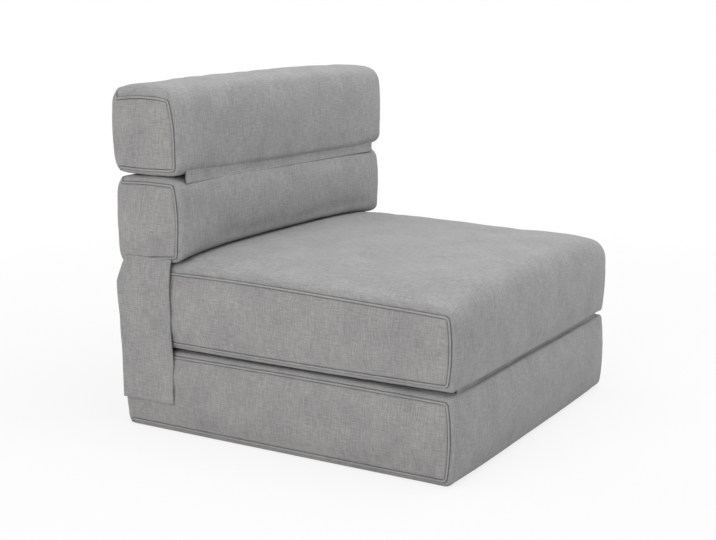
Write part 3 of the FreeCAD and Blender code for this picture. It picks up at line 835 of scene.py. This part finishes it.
def cushion_pieces(cushion):
    """The cushion's cover, with an end panel and a welt at each end."""
    rings, marks, shape, lines, seats = cushion_skin(cushion)
    rows, count = shape.shape[:2]
    points, normal = shape.reshape(-1, 3), normals_of(shape).reshape(-1, 3)
    faces = ring_faces(rows, count)
    index = np.arange(rows * count).reshape(rows, count)
    ends = {-1: index[0, ::-1].tolist(), 1: index[-1].tolist()}
    around = shape[rows // 2, np.arange(count + 1) % count]
    uvs = [ring_uvs(lengths(shape[:, count // 2]), lengths(around))]
    body = points.copy()
    for label, side in SIDES:
        chosen = faces[panel_cells(cushion, rings, marks, side).ravel()]
        touched = np.unique(chosen)
        body[touched] -= PANEL_SUNK * normal[touched]
        uv = np.column_stack([points[:, 1] + (cushion.half - np.abs(points[:, 0])), points[:, 2]])
        panel = thick_patch(
            f"{cushion.name}_{label}_end", points, normal, chosen.tolist() + [ends[side]], uv,
            PANEL_THICKNESS, PANEL_CLOTH,
        )
        keep(panel, cushion.name, (f"{cushion.name}_{label}_end_panel",))
        welt_of(cushion, label, side, lines[label], seats[label])
    uvs += [body[ends[side]][:, 1:] for side in (-1, 1)]
    every = faces.tolist() + [ends[-1], ends[1]]
    item = place_mesh(cushion.name + "_cushion", body, every, np.concatenate(uvs), CLOTH)
    keep(item, cushion.name, (cushion.name + "_cover", cushion.name + "_foam_core"))


def welt_of(cushion, label, side, line, seat):
    """The cord in the seam, wrapped in cloth that puckers at its stitches."""
    length = lengths(line)
    at = np.linspace(0, length[-1], round(length[-1] / 2.6))
    joint = evened(read_off(at, length, np.column_stack([line, seat])), 3)
    path, up = joint[:, :3], joint[:, 3:]
    ahead = np.gradient(path, axis=0)
    ahead /= np.linalg.norm(ahead, axis=1, keepdims=True)
    across = np.cross(up, ahead)
    across /= np.linalg.norm(across, axis=1, keepdims=True)
    up = np.cross(ahead, across)
    spins = np.radians(np.arange(0, 360, 30))
    tube = []
    for spin in spins:
        pucker = 0.09 * np.sin(at * math.tau / 5.2 + 1.5 * spin)
        pucker = pucker + 0.12 * field(path, 21, cushion.seed + side)
        reach = (WELT_RADIUS + pucker)[:, None]
        tube.append(path + 0.25 * up + reach * (math.cos(spin) * up + math.sin(spin) * across))
    tube = np.array(tube).transpose(1, 0, 2)
    rows, count = tube.shape[:2]
    tube = tube.reshape(-1, 3)
    faces = tube_faces(0, rows, count)
    uvs = [ring_uvs(at, np.append(spins, math.tau) * WELT_RADIUS)]
    uvs += [tube[end][:, 1:] for end in faces[-2:]]
    name = f"{cushion.name}_{label}_welt"
    # The welt's cloth is lighter than the cover: a painted highlight on its ridges
    item = place_mesh(name, tube, faces, np.concatenate(uvs), HIGHLIT_WELT_CLOTH)
    fix_normals(item)
    keep(item, cushion.name, (f"{cushion.name}_{label}_piping",))


for cushion in CUSHIONS.values():
    cushion_pieces(cushion)


# ------------------------------------------------------- sheets and stitches
def sheet_mesh(name, middle, thickness, axes, material, order=1):
    """A closed thin sheet round a grid of middle points.

    Thickness has one value a point, axes are the two that its UVs follow, and an order of
    -1 turns the sheet over.
    """
    middle, thickness = middle[:, ::order], thickness[:, ::order]
    rows, columns = middle.shape[:2]
    normal = np.cross(np.gradient(middle, axis=0), np.gradient(middle, axis=1))
    normal /= np.maximum(np.linalg.norm(normal, axis=-1, keepdims=True), 1e-9)
    half = normal * (thickness / 2)[..., None]
    points = np.concatenate([(middle + half).reshape(-1, 3), (middle - half).reshape(-1, 3)])
    maps = np.concatenate([middle[..., axes].reshape(-1, 2)] * 2)
    index = np.arange(rows * columns).reshape(rows, columns)
    quads = np.stack([index[:-1, :-1], index[1:, :-1], index[1:, 1:], index[:-1, 1:]], -1)
    quads = quads.reshape(-1, 4)
    shift = rows * columns
    edge = np.concatenate([index[:, 0], index[-1, 1:], index[-2::-1, -1], index[0, -2:0:-1]])
    after = np.roll(edge, -1)
    walls = np.stack([edge + shift, after + shift, after, edge], 1)
    faces = np.concatenate([quads, quads[:, ::-1] + shift, walls])
    return place_mesh(name, points, faces.tolist(), maps[faces.ravel()], material)


STITCH_PITCH = 4.2
STITCH_LENGTH = STITCH_PITCH * 0.72
SIX_SPINS = np.radians(np.arange(0, 360, 60))
# Rings of a stitch: share of its length, share of its radius, and lift in radii
STITCH_RINGS = (
    (0, 0.35, -0.5), (0.2, 0.9, 0.15), (0.5, 1.0, 0.35), (0.8, 0.9, 0.15), (1, 0.35, -0.5),
)


def stitches(name, starts, ends, normal, radius):
    """Short sewing stitches, each a plump thread that dips into the cloth at both ends."""
    points, faces = [], []
    for start, end in zip(starts, ends):
        along = end - start
        size = np.linalg.norm(along)
        along = along / size
        side = np.cross(normal, along)
        faces += tube_faces(len(points), len(STITCH_RINGS), len(SIX_SPINS))
        for share, scale, lift in STITCH_RINGS:
            centre = start + along * size * share + normal * lift * radius
            for spin in SIX_SPINS:
                out = math.cos(spin) * side + math.sin(spin) * normal
                points.append(centre + scale * radius * out)
    return small_parts(name, points, faces, lambda p: p[:, :2] + p[:, 2:], THREAD)


def runs_of(lines):
    """Starts and ends of the stitches along some lines of points."""
    starts, ends = [], []
    for line in lines:
        length = lengths(line)
        at = np.arange(STITCH_PITCH / 2, length[-1] - STITCH_PITCH, STITCH_PITCH)
        starts.append(read_off(at, length, line))
        ends.append(read_off(at + STITCH_LENGTH, length, line))
    return np.concatenate(starts), np.concatenate(ends)


# ------------------------------------------------------------- hinge strips
def node_box(node):
    """Lowest and highest corner of a CAD node, in millimetres."""
    return (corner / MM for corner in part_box(node))


def hinge_strip(label, lower_body, upper_body, facing, tuck, depth, halves):
    """A fabric band across the groove between two cushions, sewn to both.

    It is tucked in at its ends and in depth, and halves are half its height along it.
    """
    node, name = label + "_hinge_strip", label + "_hinge_band"
    low, high = node_box(node)
    half = high.x - tuck
    y = (low.y + high.y) / 2 - facing * depth
    middle = (low.z + high.z) / 2
    hem = half - np.array([0, 1.2, 4, 8, 9])
    x = np.concatenate([-hem, np.linspace(-half + 14, half - 14, 112), hem[::-1]])
    shares = np.linspace(-1, 1, 17)
    height = np.interp(np.abs(x), [0, 200, 300, 345], halves)
    grid = np.zeros((len(x), len(shares), 3))
    grid[..., 0] = x[:, None]
    grid[..., 2] = middle + height[:, None] * shares
    # Slightly hollow across, with a soft roll outwards at its cut ends
    hollow = 0.9 * (1 - shares ** 2)
    from_end = half - np.abs(x)
    roll = 1.5 * np.exp(-from_end / 7)[:, None] * (0.4 + 0.6 * shares ** 2)
    wave = 0.55 * field(grid, 60, 71 + len(name)) * eased(from_end, 0, 20)[:, None]
    wave = wave * (1 - shares ** 4)
    grid[..., 1] = y - facing * hollow + facing * (roll + wave)
    if upper_body == "headrest":
        turns = [bolster_turn(body, grid[..., 0]) for body in (upper_body, lower_body)]
        grid[..., 1] += (turns[0] + turns[1]) / 2
    thickness = 1.5 + 0.9 * (1 - eased(from_end, 7.6, 9.4))[:, None] + np.zeros(grid.shape[:2])
    item = sheet_mesh(name, grid, thickness, [0, 2], HINGE_CLOTH, -facing)
    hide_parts(node)
    if facing < 0:
        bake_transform(item)
    else:
        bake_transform(item)


hinge_strip("front", "base", "seat", -1, 6, 8.5, (5.0, 5.0, 5.0, 5.0))
hinge_strip("rear", "seat", "backrest", 1, 0, 0, (13.4, 13.6, 14.4, 16.0))
hinge_strip("headrest", "backrest", "headrest", -1, 0, 2.0, (12.2, 12.2, 12.4, 12.6))


# -------------------------------------------------------------------- flaps
FLAP_TOP, FLAP_FOOT = 352.5, 60.0
HEM = 6  # how far the topstitching lies from the foot


def flap_of(label, side):
    """Side flap: sewn under the backrest's end seam, it hangs over the seat and the base."""
    low, high = node_box(label + "_side_flap")
    z = [np.linspace(FLAP_TOP, 330, 10), np.linspace(324, FLAP_FOOT + 14, 40)]
    z = np.concatenate(z + [FLAP_FOOT + np.array([9, 8, 4, 0])])
    soft = 1.0 if side < 0 else 0.5
    front = np.interp(z, [FLAP_FOOT, 345, FLAP_TOP], [low.y, 243.5, 243])
    front = front + soft * 1.6 * np.sin(z / 31.0) * eased(FLAP_TOP - z, 10, 60) * eased(z, 95, 150)
    bulge = [high.y, high.y, high.y + 2.5 * soft, high.y + 4 * soft, 360, 356.5]
    rear = np.interp(z, [FLAP_FOOT, 150, 240, 300, 345, FLAP_TOP], bulge)
    hem = [0, 0.03, 0.065, 0.073]
    columns = np.concatenate([hem, np.linspace(0.11, 0.89, 18), [0.927, 0.935, 0.97, 1]])
    grid = np.zeros((len(z), len(columns), 3))
    grid[..., 2] = z[:, None]
    grid[..., 1] = front[:, None] + (rear - front)[:, None] * columns
    levels = [FLAP_FOOT, 95, 160, 250, 300, 328, 340, 347, FLAP_TOP]
    base_x = np.interp(z, levels, [378.9, 378.9, 379.0, 379.9, 380.4, 379.0, 376.6, 374.6, 373.4])
    base_x = np.convolve(np.pad(base_x, 2, mode="edge"), np.ones(5) / 5, mode="valid")
    free = eased(FLAP_TOP - z, 6, 60)[:, None]
    held = eased(z, 92, 150)[:, None]
    # Long folds fall from the seam, and the rear edge stands away from the seat.
    sway = field(grid * (1, 1.25, 0.4), 80, 83 + side) * 1.5
    buckle = field(grid * (1, 0.5, 1), 60, 57 + side) * 0.7
    stand = 4.5 * columns[None, :] ** 3 * np.exp(-((z - 285) / 52.0) ** 2)[:, None]
    edge = np.exp(-columns * 8)[None, :] * np.sin(z / 21.0 + side)[:, None] * 1.2
    curl = (np.exp(-columns * 12) + np.exp(-(1 - columns) * 12))[None, :] * 0.5
    loose = np.maximum(sway + buckle, -0.9) + edge + curl
    grid[..., 0] = side * (base_x[:, None] + soft * (loose * (0.15 + 0.85 * held) + stand) * free)
    border = np.minimum(columns, 1 - columns)[None, :] * (rear - front)[:, None]
    border = np.minimum(border, (z - FLAP_FOOT)[:, None])
    thickness = 1.4 + 0.8 * (1 - eased(border, 7.4, 8.8))
    item = sheet_mesh(f"{label}_flap", grid, thickness, [1, 2], FLAP_CLOTH, side)
    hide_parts(label + "_side_flap")
    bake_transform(item)
    # Topstitching along the two side hems and the foot
    lines = []
    for column in (0.052, 0.948):
        y = front + (rear - front) * column
        x = np.array([np.interp(column, columns, row) for row in grid[..., 0]])
        lines.append(np.column_stack([x, y, z])[(z < 350) & (z > FLAP_FOOT + HEM)])
    foot = grid[np.argmin(np.abs(z - (FLAP_FOOT + HEM)))].copy()
    foot[:, 2] = FLAP_FOOT + HEM
    lines.append(foot[(columns > 0.05) & (columns < 0.95)])
    for line in lines:
        line[:, 0] += side * 0.95
    outward = np.array([side, 0.0, 0.0])
    seam = stitches(f"{label}_flap_stitching", *runs_of(lines), outward, 0.38)
    keep(seam, label + "_flap")


for label, side in SIDES:
    flap_of(label, side)


# --------------------------------------------------- hook and loop patches
HOOK_ROWS, HOOK_COLUMNS = 14, 34
# Rings of a hook: how far it stands off the tape, and its radius
HOOK_RINGS = ((0.3, 0.22), (0.62, 0.2), (0.68, 0.42), (0.86, 0.3))


def patch_of(label, side, hooks):
    """One half of the flap's fastening: hooks on the flap, or loops on the base's end."""
    kind = "hook" if hooks else "loop"
    node, name, slot = f"{label}_{kind}_patch", f"{label}_{kind}_tape", kind + "_tape"
    body = label + "_flap" if hooks else "base"
    low, high = node_box(node)
    x = (low.x + high.x) / 2
    y = np.linspace(low.y + (-1.7 if hooks else 0.3), high.y - 0.3, 26)
    z = np.linspace(high.z - 0.3, low.z + 0.3, 13)
    grid = np.zeros((len(z), len(y), 3))
    grid[..., 0], grid[..., 1], grid[..., 2] = x, y[None, :], z[:, None]
    border_y, border_z = np.minimum(y - low.y, high.y - y), np.minimum(z - low.z, high.z - z)
    border = np.minimum(border_y[None, :], border_z[:, None])
    thickness = 0.7 + (0.1 if hooks else 0.4) * eased(border, 1, 4)
    if not hooks:
        grid[..., 0] += side * 0.12 * field(grid, 3.5, 91 + side) * eased(border, 2, 5)
    item = sheet_mesh(name, grid, thickness, [1, 2], HOOKS if hooks else LOOPS, side)
    keep(item, body, (node,))
    if not hooks:
        return
    # Rows of small mushroom hooks on the face towards the cushion
    points, faces = [], []
    spins = np.radians(np.arange(0, 360, 90) + 45)
    for row in range(HOOK_ROWS):
        for column in range(HOOK_COLUMNS):
            cy = low.y + 3 + column * 2.15 + (row % 2) * 1.05
            cz = low.z + 2.6 + row * 2.3
            if cy > high.y - 3:
                continue
            faces += tube_faces(len(points), len(HOOK_RINGS), len(spins))
            for reach, radius in HOOK_RINGS:
                for spin in spins:
                    hook_y, hook_z = cy + radius * math.cos(spin), cz + radius * math.sin(spin)
                    points.append((x - side * reach, hook_y, hook_z))
    keep(small_parts(name + "_hooks", points, faces, lambda p: p[:, 1:], HOOKS), body)


for label, side in SIDES:
    patch_of(label, side, True)
    patch_of(label, side, False)


# --------------------------------------------------------------------- zips
TOOTH_PITCH = 1.6
# Rings of a tooth: place across the chain, and share of its thickness
TOOTH_RINGS = ((-1.0, 0.55), (-0.85, 1.0), (0.35, 1.0), (0.62, 1.25), (0.8, 0.8))


def zip_of(cushion):
    """Zip in the rear face: two woven tapes, the coil and the slider."""
    low, high = node_box(cushion.name + "_zip_chain")
    middle = (low.z + high.z) / 2
    tape_y = low.y + 0.5
    xs = np.linspace(low.x + 0.3, high.x - 0.3, 84)
    parts = []
    for way in (-1, 1):
        zs = middle + way * np.linspace(0.5, (high.z - low.z) / 2 - 0.2, 7)
        if way > 0:
            zs = zs[::-1]
        grid = np.zeros((len(xs), 7, 3))
        grid[..., 0], grid[..., 2] = xs[:, None], zs[None, :]
        grid[..., 1] = tape_y + 0.12 * field(grid, 40, 101 + cushion.seed)
        thickness = np.full(grid.shape[:2], 0.9)
        parts.append(sheet_mesh(f"{cushion.name}_tape_{way}", grid, thickness, [0, 2], TAPE_CLOTH))
    tape = joined(parts, cushion.name + "_zip_tape")
    keep(tape, cushion.name, (cushion.name + "_zip_chain",))
    # Coil: crossed turns of a fine monofilament, a tooth from each side in turn
    points, faces = [], []
    for number in range(int((high.x - low.x - 4) / TOOTH_PITCH)):
        cx = low.x + 2 + number * TOOTH_PITCH
        way = 1 if number % 2 else -1
        faces += tube_faces(len(points), len(TOOTH_RINGS), len(SIX_SPINS))
        for share, scale in TOOTH_RINGS:
            cz = middle - way * share * 2.1
            cy = tape_y + 0.75 + 0.35 * (1 - share * share)
            for spin in SIX_SPINS:
                tooth_x, tooth_y = 0.62 * scale * math.cos(spin), 0.55 * scale * math.sin(spin)
                points.append((cx + tooth_x, cy + tooth_y, cz))
    coil = small_parts(cushion.name + "_zip_coil", points, faces, lambda p: p[:, ::2], COIL)
    keep(coil, cushion.name)
    # Lips: stitches above and below the opening
    x = np.linspace(-ZIP_HALF + 2, ZIP_HALF - 2, 60)
    y = np.full(len(x), cushion.rear + 0.42)
    lines = [np.column_stack([x, y, np.full(len(x), middle + way * 11.6)]) for way in (-1, 1)]
    outward = np.array([0.0, 1.0, 0.0])
    seam = stitches(cushion.name + "_zip_stitching", *runs_of(lines), outward, 0.36)
    keep(seam, cushion.name)
    slider_of(cushion, middle)


def joined(items, name):
    """Joins meshes into the first one."""
    work = bmesh.new()
    for item in items:
        work.from_mesh(item.data)
    work.to_mesh(items[0].data)
    work.free()
    for item in items[1:]:
        discard(item)
    items[0].name = items[0].data.name = name
    return items[0]


def rounded_plate(outline, low_y, high_y, bevel):
    """A plate lying in the XZ plane from an outline of points, with rounded edges."""
    work = bmesh.new()
    face = work.faces.new([work.verts.new((x, low_y, z)) for x, z in outline])
    result = bmesh.ops.extrude_face_region(work, geom=[face])
    moved = [v for v in result["geom"] if isinstance(v, bmesh.types.BMVert)]
    bmesh.ops.translate(work, verts=moved, vec=(0, high_y - low_y, 0))
    bmesh.ops.recalc_face_normals(work, faces=work.faces)
    edges = list(work.edges)
    bmesh.ops.bevel(work, geom=edges, offset=bevel, segments=3, affect="EDGES", clamp_overlap=True)
    return work


def loop_cut_plate(outer, inner, low_y, high_y):
    """A flat ring between two outlines of equal count."""
    work = bmesh.new()
    count = len(outer)
    levels = []
    soft = 0.25  # how far the rims are rounded off
    for inset, y in ((soft, low_y), (0.0, low_y + soft), (0.0, high_y - soft), (soft, high_y)):
        rows = []
        for line, way in ((outer, -1), (inner, 1)):
            centre = np.mean(line, 0)
            size = np.linalg.norm(line - centre, axis=1, keepdims=True)
            moved = centre + (line - centre) * (1 + way * inset / size)
            rows.append([work.verts.new((x, y, z)) for x, z in moved])
        levels.append(rows)
    for k in range(count):
        after = (k + 1) % count
        pairs = [levels[0], levels[3]]
        for low, high in zip(levels, levels[1:]):
            pairs += zip(low, high)
        for a, b in pairs:
            work.faces.new((a[k], a[after], b[after], b[k]))
    bmesh.ops.recalc_face_normals(work, faces=work.faces)
    return work


def slider_of(cushion, middle):
    """The slider: a body, a bridge over it, and a pull tab with a slot."""
    node = cushion.name + "_zip_slider"
    low, high = node_box(node)
    start, y0, y1 = low.x, low.y, high.y
    half = min((high.z - low.z) / 2, 4.5)
    lower = [(0, -0.55), (0.06, -0.8), (0.4, -1), (0.75, -0.86), (1.0, -0.34)]
    body = lower + [(a, -b) for a, b in lower[::-1]]
    plate = [(start + 12 * a, middle + half * b) for a, b in body]
    works = [rounded_plate(plate, y0, y0 + 1.0, 0.28)]
    bridge = ((1.6, -1.1), (8.8, -1.1), (8.8, 1.1), (1.6, 1.1))
    bridge = [(start + x, middle + z) for x, z in bridge]
    works.append(rounded_plate(bridge, y0 + 0.8, y1 - 0.1, 0.4))
    tab_middle, tab_half, tab_wide = start + 19, 13.2, 3.0
    outer, inner = [], []
    for turn in np.radians(np.arange(0, 360, 15)):
        c, s = math.cos(turn), math.sin(turn)
        blunt_c, blunt_s = (math.copysign(abs(value) ** 0.55, value) for value in (c, s))
        outer.append((tab_middle + tab_half * blunt_c, middle + tab_wide * blunt_s))
        inner.append((tab_middle + 6.5 + 3.6 * c, middle + 1.5 * s))
    works.append(loop_cut_plate(np.array(outer), np.array(inner), y1 - 0.95, y1 - 0.02))
    merged = bmesh.new()
    for work in works:
        scratch = bpy.data.meshes.new("scratch")
        work.to_mesh(scratch)
        merged.from_mesh(scratch)
        bpy.data.meshes.remove(scratch)
        work.free()
    points = np.array([tuple(v.co) for v in merged.verts])
    merged.verts.index_update()
    faces = [[v.index for v in face.verts] for face in merged.faces]
    merged.free()
    uvs = points[corners_of(faces)][:, ::2]
    item = place_mesh(cushion.name + "_zip_pull", points, faces, uvs, SLIDER, smooth=False)
    keep(item, node, (node,))


for cushion in CUSHIONS.values():
    zip_of(cushion)


# ------------------------------------------------------- floor, light, camera
WHITE = (1, 1, 1, 1)


def floor_material():
    n = new_material("pale_floor")
    place = n.add("TexCoord").outputs["Object"]
    grain = n.add("TexNoise", {"Vector": place, "Scale": 3.0, "Detail": 2.0}).outputs["Fac"]
    tone = n.spread(grain, 0.3, 0.7, 0.84, 0.86)
    colour = n.add("CombineColor", {0: tone, 1: tone, 2: tone})
    matt = n.add("BsdfDiffuse", {"Color": colour.outputs[0], "Roughness": 0.6})
    white = n.add("Emission", {"Color": WHITE, "Strength": 1.0})
    # The floor runs into the white backdrop a little way from the object.
    away = n.add("VectorMath", {0: place}, operation="LENGTH").outputs["Value"]
    share = n.math("MULTIPLY", n.white_share(), n.spread(away, 0.6, 2.4, 0.80, 1.0))
    return n.finish(n.add("MixShader", {0: share, 1: matt.outputs[0], 2: white.outputs[0]}))


def placed(name, data, place=(0, 0, 0), look=None):
    """A new object in the scene, turned to look along a direction."""
    item = bpy.data.objects.new(name, data)
    scene.collection.objects.link(item)
    item.location = place
    if look:
        item.rotation_mode = "QUATERNION"
        item.rotation_quaternion = look.to_track_quat("-Z", "Y")
    return item


FLOOR = 40.0  # half its width, in metres
floor_mesh = bpy.data.meshes.new("floor")
floor_corners = [(x * FLOOR, y * FLOOR, 0) for x, y in ((-1, -1), (1, -1), (1, 1), (-1, 1))]
floor_mesh.from_pydata(floor_corners, [], [(0, 1, 2, 3)])
floor_mesh.materials.append(floor_material())
placed("floor", floor_mesh)

scene.world = bpy.data.worlds.new("studio")
n = Nodes(scene.world)
ambient, backdrop = (
    n.add("Background", {"Color": WHITE, "Strength": strength}).outputs[0]
    for strength in (0.575, 1.0)
)
mix = n.add("MixShader", {0: n.white_share(), 1: ambient, 2: backdrop})
n.finish(mix, "OutputWorld")


def lamp(name, place, target, size, power):
    data = bpy.data.lights.new(name, "AREA")
    data.shape, data.size, data.energy = "SQUARE", size, power
    placed(name, data, place, Vector(target) - Vector(place))


lamp("top_light", (-0.3, 0.5, 3.2), (0, 0, 0.3), 3.0, 27.5)
lamp("side_light", (-3.4, 0.2, 1.2), (0, 0, 0.3), 2.4, 33.5)
lamp("fill_light", (0.35, -0.8, 1.9), (0, 0.25, 0.45), 1.4, 14)

YAW, PITCH = math.radians(59.43), math.radians(11.37)
camera_data = bpy.data.cameras.new("camera")
camera_data.sensor_width = 36
camera_data.lens = 64.77
camera_data.clip_start, camera_data.clip_end = 0.05, 200
level = math.cos(PITCH)
look = Vector((math.sin(YAW) * level, math.cos(YAW) * level, -math.sin(PITCH)))
scene.camera = placed("camera", camera_data, (-2.3034, -1.3179, 0.8259), look)

scene.view_settings.view_transform = "Standard"
